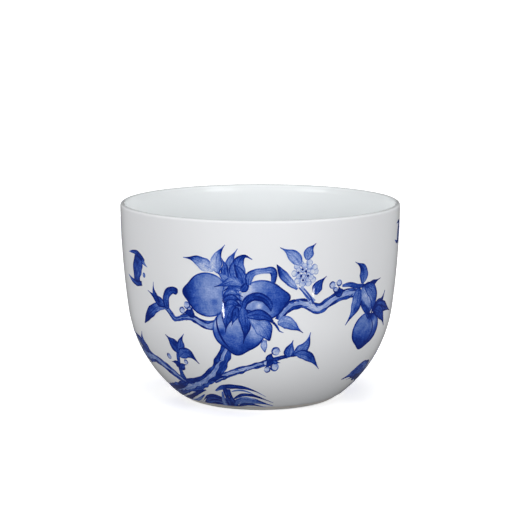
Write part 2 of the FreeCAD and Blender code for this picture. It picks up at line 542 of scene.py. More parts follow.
def mark(points, widths, tones, side=0.0, blunt=0.0, across=8):
    """One brush mark, as a grid that runs along its middle line.

    Its points are (around, up): millimetres round the mouth from the middle of
    the front, and the height. A place is the middle line plus its normal times
    v times half the width, for v from -1 to 1. widths and tones are spread
    evenly along it, and the hand swells and thins it by a twentieth. side
    darkens the left of the brush's way, and lightens the right. blunt rounds
    the ends off over that length.
    """
    row_gap = 0.28
    length = smooth_line(points, 9)[1]
    count = int(np.clip(length / row_gap, 8, 90)) + 1
    line, length = smooth_line(points, count)
    share = np.linspace(0, 1, count)
    half_width = np.maximum(spread(widths, share), 0.05) / 2
    half_width *= 1 + 0.05 * np.sin(1.9 * share * length + 5 * line[0, 0])
    if blunt:
        near_end = np.clip(np.minimum(share, 1 - share) * length / blunt, 0, 1)
        half_width = np.maximum(half_width * np.sqrt(1 - (1 - near_end) ** 2), 0.03)
    round_scale, up_scale = wall_scale(line[:, 1])
    way = np.gradient(line, axis=0) * np.stack([round_scale, up_scale], -1)
    way /= np.linalg.norm(way, axis=1, keepdims=True)
    v = np.linspace(-1, 1, across + 1)[None]
    reach = half_width[:, None] * v
    tone = spread(tones, share)
    return {
        "around": line[:, :1] - way[:, 1:] * reach / round_scale[:, None],
        "up": line[:, 1:] + way[:, :1] * reach / up_scale[:, None],
        "pigment": np.clip(tone[:, None] + side * v * np.minimum(1, 4 * tone[:, None]), 0, 1),
        "inset": half_width[:, None] * (1 - abs(v)),
        "along": np.broadcast_to((share * length)[:, None], reach.shape),
        "across": reach,
    }


def hair(points, width, tones):
    """A fine line: full in the middle and drawn out to a point at both ends."""
    return mark(points, (0.3 * width, width, width, 0.2 * width), tones, across=2)


def on_wall(around, up, depth):
    """The place in metres, depth millimetres under the face of the glaze."""
    radius, level, _ = wall_place(up, depth)
    angle = around / mouth_radius
    return np.stack([radius * np.sin(angle), -radius * np.cos(angle), level], -1) / 1000


def film(name, clusters, material, lift):
    """One thin closed piece of colour for each mark, all in one object.

    The first mark of each cluster stands lift millimetres over the white, and
    the others lie over it in their order, each a layer higher. A mark is a top
    grid, a bottom grid sunk in the white, and the strip between their rims. Its
    bottom is a layer lower than the last one's, so no two faces coincide.
    What would lie under the lowest level, or over it by less than squeeze, is
    pressed together above it, so that no colour runs over the glaze line.
    Kinds that cross differ in lift: leaves lie over peaches, over branches.
    """
    layer, sunk, lowest, squeeze = 0.003, 0.02, 1.25, 0.35
    places, faces, start = [], [], 0
    values = {key: [] for key in ("pigment", "inset", "along", "across", "seed")}
    for number, (order, shape) in enumerate((o, s) for c in clusters for o, s in enumerate(c)):
        rows, columns = shape["around"].shape
        up = shape["up"]
        pressed = lowest + squeeze * np.exp((up - lowest) / squeeze - 1)
        up = np.where(up < lowest + squeeze, pressed, up)
        for depth in (paint_room - lift - layer * order, paint_room + sunk + layer * order):
            places.append(on_wall(shape["around"], up, depth).reshape(-1, 3))
            for key in ("pigment", "inset", "along", "across"):
                values[key].append(np.asarray(shape[key], float).ravel())
            values["seed"].append(np.full(rows * columns, (number * 0.618) % 1))
        top = start + np.arange(rows * columns).reshape(rows, columns)
        corners = (top[:-1, :-1], top[1:, :-1], top[1:, 1:], top[:-1, 1:])
        faces.append(np.stack(corners, -1).reshape(-1, 4))
        drop = rows * columns
        faces.append(np.stack(corners[::-1], -1).reshape(-1, 4) + drop)
        rim = np.concatenate([top[:, 0], top[-1, 1:], top[-2::-1, -1], top[0, -2:0:-1]])
        ahead = np.roll(rim, -1)
        faces.append(np.stack([rim, rim + drop, ahead + drop, ahead], -1))
        start += 2 * drop
    mesh = bpy.data.meshes.new(name)
    mesh.from_pydata(np.concatenate(places).tolist(), [], np.concatenate(faces).tolist())
    for key, parts in values.items():
        mesh.attributes.new(key, "FLOAT", "POINT").data.foreach_set("value", np.concatenate(parts))
    mesh.shade_smooth()
    mesh.set_sharp_from_angle(angle=math.radians(40))
    mesh.materials.append(material)
    piece = bpy.data.objects.new(name, mesh)
    bpy.context.collection.objects.link(piece)
    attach(piece, "root")
    return piece


def cobalt_group():
    """Cobalt under glaze: pigment from 0 to 1 becomes pale violet to navy.

    The stored pigment of a mark gains a dark contour near its edge, streaks
    along the brush's way, ribs and side veins, and a cloudy grain. All of it
    fades out where the pigment does.
    """
    tree, given, out = new_group(
        "cobalt_brushwork",
        [
            ("White", "Color", (0.83, 0.84, 0.86, 1)),
            ("Contour width", "Float", 0.3),
            ("Contour", "Float", 0.4),
            ("Streaks", "Float", 0.2),
            ("Veins", "Float", 0.0),
            ("Grain", "Float", 0.15),
        ],
        [("Color", "Color")],
    )

    def stored(name):
        return add(tree, "Attribute", attribute_name=name).outputs["Fac"]

    def step(operation, *terms):
        return calculate(tree, operation, *terms)

    pigment, inset, along, across, seed = (stored(n) for n in ("pigment", "inset", "along", "across", "seed"))
    place = add(tree, "TexCoord").outputs["Object"]
    fine = noise(tree, place, 2600.0, 2.0)
    cloudy = noise(tree, place, 620.0, 2.0)
    stretched = (step("MULTIPLY", along, 0.45), step("MULTIPLY", across, 3.2), step("MULTIPLY", seed, 40.0))
    bristles = noise(tree, add(tree, "CombineXYZ", dict(enumerate(stretched))).outputs[0], 1.0, 2.0)
    ragged = step("MULTIPLY_ADD", step("SUBTRACT", cloudy, 0.5), 0.5, 1.0)
    edge_share = step("DIVIDE", inset, step("MULTIPLY", given["Contour width"], ragged))
    contour = slope(tree, edge_share, 0.55, 1.25, 1.0, 0.0, interpolation_type="SMOOTHSTEP")
    side = step("ABSOLUTE", across)
    slant = step("SUBTRACT", step("MULTIPLY", along, 1.5), step("MULTIPLY", side, 1.3))
    vein = slope(tree, step("PINGPONG", slant, 0.5), 0.0, 0.22, 1.0, 0.0)
    rib = slope(tree, side, 0.06, 0.16, 1.6, 0.0)
    veins = step("MULTIPLY", step("MAXIMUM", vein, rib), given["Veins"])
    total = step("MULTIPLY_ADD", contour, given["Contour"], pigment)
    total = step("MULTIPLY_ADD", step("SUBTRACT", bristles, 0.5), given["Streaks"], total)
    total = step("ADD", total, veins)
    grain = step("ADD", step("SUBTRACT", cloudy, 0.5), step("SUBTRACT", fine, 0.5))
    total = step("MULTIPLY_ADD", grain, given["Grain"], total)
    total = step("MULTIPLY", total, slope(tree, pigment, 0.0, 0.14))
    ramp = add(tree, "ValToRGB", {"Fac": total})
    stops = [
        (0.0, (1.0, 1.0, 1.0)),
        (0.15, (0.71, 0.77, 0.91)),
        (0.3, (0.42, 0.52, 0.86)),
        (0.45, (0.23, 0.335, 0.70)),
        (0.6, (0.105, 0.20, 0.59)),
        (0.75, (0.028, 0.09, 0.47)),
        (0.9, (0.005, 0.038, 0.31)),
        (1.0, (0.002, 0.018, 0.21)),
    ]
    elements = ramp.color_ramp.elements
    while len(elements) < len(stops):
        elements.new(0.5)
    for element, (position, colour) in zip(elements, stops):
        element.position = position
        element.color = (*colour, 1)
    tint = add(tree, "VectorMath", {0: given["White"], 1: ramp.outputs["Color"]}, operation="MULTIPLY")
    tree.links.new(tint.outputs[0], out["Color"])
    return tree


cobalt_brushwork = cobalt_group()


def cobalt_material(name, **values):
    """Cobalt painting on the white clay, under the same clear glaze."""
    material, tree, shader = finish_material(name, 0.3, 1.0)
    white = add(tree, "Group", {"Cloud": 0.02}, node_tree=fired_white).outputs
    given = {key.replace("_", " "): value for key, value in values.items()}
    given["White"] = white["Color"]
    paint = add(tree, "Group", given, node_tree=cobalt_brushwork).outputs
    tree.links.new(paint["Color"], shader.inputs["Base Color"])
    raise_grain(tree, shader, white["Height"], 0.25)
    return material


bark_paint = cobalt_material("bark_paint", Contour_width=0.2, Contour=0.12, Streaks=0.7, Grain=0.3)
dice = np.random.default_rng(11)


def limb(points, widths, wash, press):
    """A branch: a pale wash between two dark contours, rough with knots.

    The contours run half a width either side of the middle line, less an
    inset, pushed in and out by a shake of the hand. The one on the right of
    the brush's way is the heavier. A knot is a short dash into the wash.
    """
    stroke_gap, knot_gap, shake, contour_inset = 1.2, 5, 0.16, 0.22
    count = max(5, int(smooth_line(points, 9)[1] / stroke_gap))
    middle, length = smooth_line(points, count)
    scale = np.stack(wall_scale(middle[:, 1]), -1)
    way = np.gradient(middle, axis=0) * scale
    way /= np.linalg.norm(way, axis=1, keepdims=True)
    left = np.stack([-way[:, 1], way[:, 0]], -1) / scale
    half_width = spread(widths, np.linspace(0, 1, count)) / 2
    marks = [mark(points, widths, wash)]
    for hand, weight in ((1, 0.85), (-1, 1.15)):
        away = hand * (half_width - contour_inset) + dice.uniform(-shake, shake, count)
        stroke = press * weight * dice.uniform(0.5, 1.5, count)
        marks.append(mark(middle + left * away[:, None], stroke, dice.uniform(0.72, 1, count), across=4))
    for place in dice.integers(1, count - 1, int(length / knot_gap)):
        hand = dice.choice([-0.8, 0.8])
        start = middle[place] + left[place] * hand * half_width[place]
        end = middle[place] + left[place] * 0.2 * hand + 0.9 * way[place] / scale[place]
        marks.append(mark([start, end], (0.7, 0.15), (0.85, 0.5), across=4))
    return marks


upper_trunk = [(-18.6, 9.1), (-14.6, 11.8), (-11.6, 15.2), (-9.2, 19.4)]
trunk_wash = (0.65, 0.5, 0.42, 0.42, 0.42, 0.42, 0.4)
trunk = (
    limb(
        [(-56, 15), (-50, 13.4), (-45, 12.9), (-40, 13.2), (-36, 12.3), (-32, 10.4), (-28, 8.4), (-25, 7.6)],
        (3.4, 3.5, 3.5, 3.2, 2.8, 2.6, 2.2, 1.2), (0.45, 0.5, 0.45, 0.4, 0.4), 1.15,
    )
    + limb(
        [(-47, 1.8), (-39, 4), (-31, 5.6), (-24, 7.1)] + upper_trunk,
        (3.6, 3.8, 3.6, 3.4, 3.2, 3, 2.6, 2.3), trunk_wash, 1.3,
    )
)
low_limb = limb(
    [(-15.4, 9.4), (-11, 11.4), (-7.6, 12.6), (-3.6, 14), (0.5, 15.2), (3.8, 16.4), (7.5, 17.2), (11, 17.9)],
    (1.9, 2.1, 1.9, 1.7, 1.5, 1.2, 1, 0.9), (0.42, 0.35, 0.4, 0.55, 0.65), 0.6,
)
roots = [
    mark([(-47, 2.4), (-39, 4.3), (-33, 5.5), (-28.4, 6.9), (-25.6, 8.2)],
         (1.4, 1.7, 1.5, 1.4, 0.5), (0.9, 1, 0.95)),
    mark([(-43, 1.6), (-36, 2.9), (-31, 4.2), (-26.6, 5.4), (-22, 6.2)],
         (1, 1.1, 0.9, 0.7, 0.2), (0.7, 0.8, 0.6)),
    mark([(-40, 0.9), (-34.4, 1.9), (-29.4, 3.2), (-25, 4.6), (-20, 6.2)],
         (1, 1.6, 1.3, 1.1, 0.4), (0.9, 1, 0.85)),
    mark([(-36, 0.6), (-31, 1.4), (-26.4, 2.6), (-22, 4.4)], (0.8, 1, 0.9, 0.3), (0.5, 0.45, 0.6)),
    mark([(-27.4, 8.6), (-23.4, 8.9), (-20, 9.8), (-17.6, 11), (-15.4, 12.7)],
         (0.6, 1.3, 1.3, 1, 0.2), (0.95, 0.9)),
    mark([(-17.4, 9.2), (-15.4, 9.9), (-13, 10.8), (-10.4, 11.3)], (0.3, 1.3, 1, 0.2), (0.9, 0.95, 0.8)),
]
right_bough = limb(
    [(4.8, 27), (6.3, 29.4), (8.6, 30.9), (11, 31.3), (13.6, 30.1), (16, 29.6), (18.6, 30.9), (21.4, 32.2),
     (24.4, 32.6), (28.2, 32.4)],
    (1.5, 2, 2.3, 2.3, 2.5, 2.4, 2.3, 2.4, 2.5, 2), (0.48, 0.4, 0.34, 0.38, 0.4), 0.7,
) + [
    mark([(22.6, 34.8), (25, 34.9), (27.6, 34.2), (30.6, 34)], (0.6, 1.4, 1.3, 0.8), (0.7, 0.85)),
    mark([(14, 31.2), (12.5, 33), (10.6, 35.4)], (1.7, 1.3, 1), (0.4, 0.35, 0.3)),
    mark([(14.2, 30.9), (13.1, 32.9), (11.3, 35)], (0.6, 0.45, 0.3), (0.8, 0.7), across=4),
    mark([(13.2, 31.8), (12, 33.2), (10, 35.3)], (0.5, 0.4, 0.3), (0.75, 0.6), across=4),
    mark([(28.6, 32.4), (30.4, 29.4), (32.2, 27.4), (34.4, 24.8)],
         (1.5, 1.7, 1.9, 1.5), (0.85, 0.95), blunt=0.5),
]
left_twig = limb(
    [(-11.6, 25.4), (-14.6, 25.2), (-16.8, 26), (-18.8, 26.9), (-21.4, 26.6), (-24.2, 26), (-25.8, 27.2),
     (-27.4, 28.7)],
    (2.6, 2.3, 1.9, 1.8, 1.4, 1.3, 1.3, 1.5), (0.45, 0.5, 0.6), 0.6,
)
sprig_stem = [
    mark([(-27.4, 8.8), (-26.9, 11.4), (-26.3, 13.8), (-25.6, 16.2), (-24.8, 18)],
         (2, 1.3, 1.1, 1.1, 0.9), (0.85, 0.8)),
]


def far_side(cluster, shift, flip=1):
    """The same marks elsewhere round the cup: around = flip times around + shift."""
    keep = slice(None, None, flip)
    return [
        {key: (flip * grid + shift if key == "around" else grid)[:, keep] for key, grid in shape.items()}
        for shape in cluster
    ]


def far_tree(*clusters):
    """Marks of the fruiting tree, as it stands again on the far side."""
    return [far_side(cluster, 101.0) for cluster in clusters]


def far_bough(*clusters):
    """Marks of the right hand bough, turned the other way on the far side."""
    return [far_side(cluster, -65.0, -1) for cluster in clusters]


def far_sprig(*clusters):
    """Marks of the small sprig, as it grows again on the long limb."""
    return [far_side(cluster, -37.0) for cluster in clusters]


long_limb = limb(
    [(-53, 14.2), (-58, 16), (-62.6, 19.6), (-66, 23.6), (-69.4, 26.6), (-71.3, 29.2)],
    (2.9, 2.7, 2.5, 2.3, 2, 2), (0.5, 0.4, 0.32), 0.8,
)
film("painted_branches", [trunk + roots, low_limb, right_bough, left_twig, sprig_stem], bark_paint, 0.01)
far_trunk = limb(
    [(-49, 1.5), (-41, 3), (-33, 4.9), (-25, 7)] + upper_trunk,
    (3.2, 3.6, 3.6, 3.4, 3.2, 3, 2.6, 2.3), trunk_wash, 1.3,
)
film(
    "painted_far_branches",
    [long_limb] + far_tree(far_trunk + roots[:4], low_limb, left_twig) + far_bough(right_bough),
    bark_paint, 0.01,
)


# ------------------------------------------------------- the painted peaches
# Ripe fruits in groups, each a pale wash that the brush lets darken towards
# the drawn out tip, with a darker outline and softly stippled shadows.
def fruit(centre, size, tip, light, tones, spots=()):
    """A peach: a disc drawn out to a point at angle tip, dented opposite.

    The disc is a square grid squeezed round, x = u root(1 - v^2 / 2). Its edge
    is 1 plus a narrow bell at the tip less one at the stalk. The colour is
    palest at light, in shares of the size, and deepens with the distance. Each
    of the spots, (x, y, spread, amount), adds a bell of its own.
    """
    u, v = np.meshgrid(np.linspace(-1, 1, 41), np.linspace(-1, 1, 41), indexing="ij")
    x = u * np.sqrt(1 - v**2 / 2)
    y = v * np.sqrt(1 - u**2 / 2)
    turn = np.angle(np.exp(1j * (np.arctan2(y, x) - math.radians(tip))))
    edge = 1 + 0.22 * np.exp(-((turn / 0.3) ** 2)) - 0.1 * np.exp(-(((abs(turn) - math.pi) / 0.3) ** 2))
    round_scale, up_scale = wall_scale(centre[1] + size[1] * edge * y)
    away = np.hypot(x - light[0], y - light[1]) / (1 + np.hypot(*light))
    pale, dark = tones
    rim = np.hypot(x, y)
    bells = 0.0
    for a, b, width, amount in spots:
        bells = bells + amount * np.exp(-((x - a) ** 2 + (y - b) ** 2) / width**2)
    return {
        "around": centre[0] + size[0] * edge * x / round_scale,
        "up": centre[1] + size[1] * edge * y / up_scale,
        "pigment": np.clip(pale + (dark - pale) * away**1.15 + bells, 0.05, 1),
        "inset": (1 - rim) * edge * min(size),
        "along": x * size[0],
        "across": y * size[1],
    }


peach_paint = cobalt_material("peach_paint", Contour_width=0.4, Contour=0.26, Streaks=0.16, Grain=0.3)
three_peaches = [
    fruit((-14, 33.2), (5.9, 5.8), 177, (0.45, 0.2), (0.27, 0.8),
          ((-1, 0.05, 0.45, 0.32), (0.35, -0.3, 0.16, 0.28), (0.15, -0.9, 0.25, -0.16),
           (0.65, 0.25, 0.4, 0.16))),
    fruit((0.5, 32.2), (6, 5.3), 8, (-0.75, 0.45), (0.18, 0.94),
          ((-0.13, -0.3, 0.13, -0.4), (0.35, -0.66, 0.3, -0.24), (0.2, 0.25, 0.4, 0.16))),
    fruit((-5.8, 24.4), (6.8, 6.1), 266, (-0.3, 0.35), (0.36, 0.98),
          ((-0.85, 0.2, 0.2, -0.35), (-0.62, -0.1, 0.18, 0.25), (0.75, -0.25, 0.34, -0.42),
           (0.5, 0.15, 0.28, -0.32))),
    hair([(-11.4, 28.6), (-11.6, 25.4), (-10.2, 21.6), (-7.6, 18.6)], 0.5, (0.7, 0.8, 0.85, 0.6)),
]
hanging_peach = [
    fruit((33.6, 21.9), (5.7, 4.8), 260, (0.1, 0.75), (0.38, 1.05),
          ((0.5, 0.25, 0.24, -0.2), (-0.8, 0.1, 0.3, -0.2), (0.25, 0.75, 0.35, 0.5))),
    hair([(34.4, 25.4), (36.2, 23), (36.4, 20.4), (34, 17.6)], 0.4, (0.6, 0.75, 0.8, 0.6)),
]
film("painted_peaches", [three_peaches, hanging_peach], peach_paint, 0.045)
film("painted_far_peaches", far_tree(three_peaches) + far_bough(hanging_peach), peach_paint, 0.045)


# -------------------------------------------------------- the painted leaves
# Leaves of two washes: the pale back of a leaf and the dark face of one, each
# laid in one press and pull of the brush, with its rib and veins drawn in.
def leaf(points, width, tones, side=0.0, hook=True):
    """A leaf from its stalk to its tip, which is hooked and long, or short."""
    if hook:
        profile = (0.3, 0.85, 1.08, 1, 0.75, 0.38, 0.14, 0.05)
    else:
        profile = (0.3, 0.7, 0.98, 1.12, 1.02, 0.62, 0.08)
    return mark(points, [width * w for w in profile], tones, side=side, across=10)


leaf_paint = cobalt_material(
    "leaf_paint", Contour_width=0.42, Contour=0.2, Streaks=0.5, Veins=0.09, Grain=0.4
)
crown_leaves = [
    leaf([(-12, 39.6), (-14.6, 41), (-17.2, 42.2), (-20.6, 42.4)],
         3.1, (0.25, 0.29, 0.45, 0.8, 0.35), -0.2),
    leaf([(-10.8, 39), (-11.3, 41.2), (-10.8, 43.6), (-8.9, 46.3)],
         2.9, (0.4, 0.33, 0.4, 0.65, 0.25), -0.22),
    leaf([(-7, 37.6), (-7.7, 40.4), (-7.4, 42.6), (-5.7, 45.4)], 2.8, (0.65, 0.6, 0.5, 0.55, 0.25)),
    leaf([(-6, 36.6), (-5.9, 39.4), (-5.4, 42), (-3.9, 43.5), (-2, 42.7)],
         3.8, (0.51, 0.55, 0.59, 0.8, 0.45), 0.12),
    leaf([(-8.6, 37.6), (-9.1, 39.6), (-9, 41), (-9.9, 43)], 2, (0.63, 0.67, 0.65, 0.45)),
    leaf([(-4.6, 35.2), (-4.4, 37), (-5.2, 39.4), (-6.6, 41.4)], 2.3, (0.67, 0.73, 0.7), 0.12, False),
    leaf([(-7.8, 36.6), (-9.8, 38.4), (-11.6, 39.4)], 1.8, (0.55, 0.5, 0.45)),
    leaf([(-4.6, 36), (-7, 37), (-9.4, 36.2), (-12, 35.4)], 2.4, (0.5, 0.57, 0.67, 0.65), 0.1),
    leaf([(-4.8, 34.4), (-3.6, 36), (-3.2, 38)], 1.9, (0.8, 0.75, 0.55)),
    mark([(-3, 36.2), (-2.7, 38.4), (-1.2, 39.5), (1.4, 39.9), (3, 39.9), (3.5, 38.7), (3.3, 36.8)],
         (1.3, 2, 1.7, 1.4, 1.8, 1.7, 1.1), (0.65, 0.6, 0.42, 0.5, 0.75, 0.6), side=0.14),
]
heart_leaves = [
    mark([(-7.4, 37.4), (-7.6, 34), (-7.2, 31), (-6.4, 28)], (3.4, 4.4, 4.6, 3.4), (0.55, 0.5, 0.6)),
    leaf([(-4.4, 35), (-7, 35.6), (-9.8, 34.3)], 2, (0.6, 0.7, 0.75)),
    leaf([(-9.6, 32.9), (-7.2, 34.1), (-4.4, 33.1)], 2, (0.8, 0.55, 0.8)),
    leaf([(-9.8, 31.6), (-7.3, 32.8), (-4.2, 31.8)], 2, (0.85, 0.65, 0.85)),
    leaf([(-9.4, 30), (-7, 31.4), (-4, 30.2)], 2.3, (0.85, 0.7, 0.85)),
    leaf([(-6.8, 31), (-8.1, 29), (-8.9, 26.8), (-9.3, 23.6)], 3.5, (0.72, 0.75, 0.78, 0.7), 0.1),
    leaf([(-6, 30.4), (-6.6, 28.2), (-7.6, 25.4)], 2, (0.8, 0.75, 0.6)),
    leaf([(-4.6, 30.4), (-4, 27.6), (-3.8, 24.6), (-4.6, 20.8)], 3.1, (0.68, 0.75, 0.85, 0.85), 0.1),
    leaf([(-3, 28), (-0.6, 26.6), (1.2, 24.4), (2.5, 21.6)], 4, (0.55, 0.48, 0.5, 0.62, 0.85), 0.1, False),
    leaf([(-3.6, 28.2), (-0.6, 28.5), (2.2, 27.6), (4.6, 24.9)], 2.7, (0.72, 0.78, 0.88, 0.92)),
    mark([(-4.4, 30.2), (-3.6, 32), (-1.6, 33.2), (0.8, 32.8), (2.4, 31.2), (2.8, 29.4)],
         (1.2, 1.8, 2.2, 2.1, 1.8, 0.4), (0.7, 0.85, 0.88, 0.8, 0.66), side=-0.12),
    leaf([(4.6, 26.2), (6.8, 26.4), (9, 25.2), (11.6, 23.4)], 3.1, (0.42, 0.45, 0.6, 0.5), -0.1),
    mark([(3.6, 26.4), (4.5, 25.2), (5.1, 24.2), (6.2, 23.7)],
         (0.5, 0.5, 0.35, 0.1), (0.8, 0.6, 0.3), across=4),
]
right_leaves = [
    leaf([(29.7, 34.6), (30.1, 37), (29.3, 39), (26.6, 40.6)], 2.9, (0.6, 0.68, 0.8, 0.5), 0.1),
    leaf([(29.6, 33.6), (32.4, 33.3), (35, 34.3), (38, 35)], 2.6, (0.9, 0.85, 0.88, 0.6)),
    leaf([(28.4, 33.8), (28.3, 30.8), (27.3, 27.8), (24.6, 24.2)], 3.5, (0.85, 0.62, 0.7, 0.7), 0.2),
    leaf([(33.2, 30.4), (33.6, 28.4), (33.9, 26.6), (34, 24.8)], 2.2, (0.6, 0.65, 0.75, 0.8)),
    leaf([(29.6, 33.2), (31.4, 31.6), (32.7, 29.4), (33.8, 26)], 3.7, (0.45, 0.34, 0.42, 0.8), -0.1),
    leaf([(30.8, 33.8), (34, 32.2), (35.5, 29), (34.7, 24.6)], 3.6, (0.78, 0.62, 0.72, 0.92), 0.15),
    leaf([(35.6, 26.4), (38.4, 28), (40.2, 29), (41.6, 31.2)], 2.9, (0.9, 0.88, 0.85, 0.6)),
    leaf([(35.4, 27.4), (40, 27.3), (43.6, 26.2), (48.4, 24.6)], 3, (0.9, 0.82, 0.85, 0.6)),
    leaf([(36, 27), (39.4, 25.8), (41.4, 24.2), (44.4, 21.2)], 3.2, (0.9, 0.8, 0.85, 0.6)),
]
left_leaves = [
    leaf([(-27.4, 28.6), (-31, 28.2), (-34.4, 26.2), (-38, 22.9)],
         2.6, (0.45, 0.6, 0.8, 1, 0.9), -0.05, False),
    leaf([(-27.2, 28.9), (-29.8, 29.9), (-32, 31.1), (-34.4, 32.2)], 2.4, (0.85, 0.75, 0.75, 0.5), 0.08),
    leaf([(-29.6, 29.6), (-31.2, 31.2), (-31.8, 32.8), (-31.6, 34.8)], 1.5, (0.85, 0.85, 0.6, 0.3)),
    mark([(-26.8, 28.2), (-27.2, 30.6), (-26.3, 32.6), (-24.4, 33.5), (-22.8, 33)],
         (1.5, 2.1, 2.2, 2, 1.9), (0.8, 0.75, 0.8, 0.85, 0.95), side=0.1, blunt=0.8),
]
limb_leaves = [
    leaf([(-40.4, 14.4), (-42.2, 16), (-42.8, 17.8), (-41.6, 20)], 2.7, (0.8, 0.75, 0.7, 0.4)),
    leaf([(-41.6, 14.4), (-44.6, 16.2), (-48, 17.4), (-52.6, 18.4)], 3.2, (0.85, 0.8, 0.75, 0.5)),
]
sprig_leaves = [
    leaf([(-25, 16.6), (-25.8, 18.4), (-27, 19.7), (-28.9, 21.2)], 3.3, (0.8, 0.85, 0.85, 0.6)),
    leaf([(-24.8, 16.4), (-23.7, 18.8), (-23.3, 20.4), (-22, 22.2)], 2.4, (0.75, 0.7, 0.75, 0.4)),
    leaf([(-25.2, 15.6), (-22.8, 16.9), (-20.8, 16.4), (-18.6, 14.2)], 3.1, (0.65, 0.7, 0.85, 0.7), 0.06),
    leaf([(-26.2, 12), (-27.4, 13.4), (-29.4, 13.6)], 2, (0.9, 0.95, 0.8)),
    leaf([(-26.6, 11.6), (-25, 13.1), (-23.4, 13.4)], 1.9, (0.85, 0.8, 0.5)),
]
low_leaves = [
    leaf([(7.8, 16.9), (8, 18.4), (8.3, 19.6), (9, 21.6)], 2.6, (0.75, 0.68, 0.7, 0.4), 0.1),
    leaf([(9.4, 17.4), (11.6, 18.8), (13, 20.4), (13.8, 23.4)], 2.9, (0.75, 0.6, 0.66, 0.4), -0.1),
    leaf([(9.8, 17.9), (12.8, 17.3), (15.4, 15.6), (18.2, 12.8)], 2.6, (0.68, 0.66, 0.75, 0.4), 0.12),
]
blossom_leaves = [
    leaf([(10.2, 41.2), (8.9, 43), (7.2, 44.4), (5, 45.7)], 3, (0.35, 0.38, 0.45, 0.5), -0.1),
    leaf([(12, 42.3), (12.4, 43.8), (13, 45.1), (14.4, 46.4)], 2.5, (0.45, 0.5, 0.6, 0.4)),
    leaf([(9.6, 34.9), (7.6, 36.8), (5.8, 38.8), (4.2, 41.4)],
         2.1, (0.3, 0.36, 0.5, 0.75, 0.85), 0.18, False),
    leaf([(14.7, 33.2), (15, 34.8), (15.8, 36.2), (17.6, 37.8)], 2.5, (0.72, 0.7, 0.75, 0.5)),
]
film(
    "painted_leaves",
    [
        heart_leaves, crown_leaves, right_leaves, left_leaves, limb_leaves, sprig_leaves, low_leaves,
        blossom_leaves,
    ],
    leaf_paint, 0.062,
)
film(
    "painted_far_leaves",
    far_tree(heart_leaves, crown_leaves, left_leaves, low_leaves)
    + far_bough(right_leaves, blossom_leaves)
    + [far_side(limb_leaves, -105, -1)]
    + far_sprig(sprig_leaves),
    leaf_paint, 0.062,
)


# ------------------------------------------------------ the painted blossoms
# Peach blossom and rolled buds, hardly tinted, each petal closed by a fine
# dark line, with the stamens set as dots and the buds held in dark cups.
def dots(places, size, tone):
    """Small round touches of the brush's tip."""
    ends = [[(a - size / 2, u), (a + size / 2, u)] for a, u in places]
    return [mark(pair, size, tone, blunt=size / 2, across=6) for pair in ends]


def blossom(centre, reach):
    """A full flower: three rings of petals, the inner on the outer, and stamens.

    A petal is a short round mark whose middle lies at a share of the reach.
    """
    middle = np.array(centre, float)
    petals = []
    for place, size, count in ((0.76, 0.46, 10), (0.5, 0.42, 8), (0.24, 0.36, 4)):
        start = dice.uniform(0, 6)
        turns = start + (np.arange(count) + dice.uniform(-0.25, 0.25, count)) * 2 * math.pi / count
        for turn in turns:
            way = reach * np.array([math.cos(turn), math.sin(turn)])
            ends = [middle + (place + s * size / 2) * way for s in (-1, 1)]
            widths = [size * reach * w for w in (0.7, 1, 0.95)]
            petals.append(mark(ends, widths, (0.36, 0.2, 0.16), side=0.06, blunt=0.45 * size * reach))
    stamens = [(-0.3, -0.2), (0.05, 0.1), (-0.2, 0.25), (0.2, -0.2), (-0.15, -0.5), (-0.5, 0.05)]
    return petals + dots(middle + reach * np.array(stamens), 0.62, 0.8)


def rolled_bud(centre, size, turn):
    """A bud as one curl of line about a pale ball."""
    angles = np.radians(turn + np.array([0, 60, 120, 180, 240, 290]))
    reach = size * np.array([0.5, 0.5, 0.48, 0.42, 0.32, 0.18])
    curl = np.array(centre) + np.stack([reach * np.cos(angles), reach * np.sin(angles)], -1)
    ends = [(centre[0] + side * 0.42 * size, centre[1]) for side in (-1, 1)]
    ball = mark(ends, 0.85 * size, (0.2, 0.32), side=0.08, blunt=0.42 * size)
    return [ball, hair(curl, 0.15 * size, (0.4, 0.65, 0.55, 0.3))]


def rolled_buds(*buds):
    """A group of buds, each given as (centre, size, turn)."""
    return [stroke for bud in buds for stroke in rolled_bud(*bud)]


blossom_paint = cobalt_material("blossom_paint", Contour_width=0.22, Contour=0.3, Streaks=0.2, Grain=0.35)
big_blossom = blossom((11.6, 39), 3.7)
bough_buds = rolled_buds(((19.6, 35.2), 2, 40), ((21.6, 35.8), 1.8, 160), ((20.6, 34), 1.5, 90))
twig_buds = rolled_buds(((-21.7, 28.4), 1.9, 20), ((-20.2, 30.1), 2.1, 200), ((-19.3, 28.9), 1.6, 60))
low_buds = rolled_buds(
    ((4.3, 18.5), 2.5, 0), ((4.4, 14.2), 2.6, 90), ((2, 13.7), 2, 200), ((1.6, 15.4), 1.6, 130)
) + [mark([(1.3, 21.8), (1, 20.4), (1.3, 18.4)], (0.8, 1.7, 0.1), (0.45, 0.3, 0.6), across=6)]
sprig_buds = rolled_buds(((-29.6, 15), 1.8, 60), ((-23.4, 14.2), 1.5, 300))
film("painted_blossoms", [big_blossom, bough_buds, twig_buds, low_buds, sprig_buds], blossom_paint, 0.02)
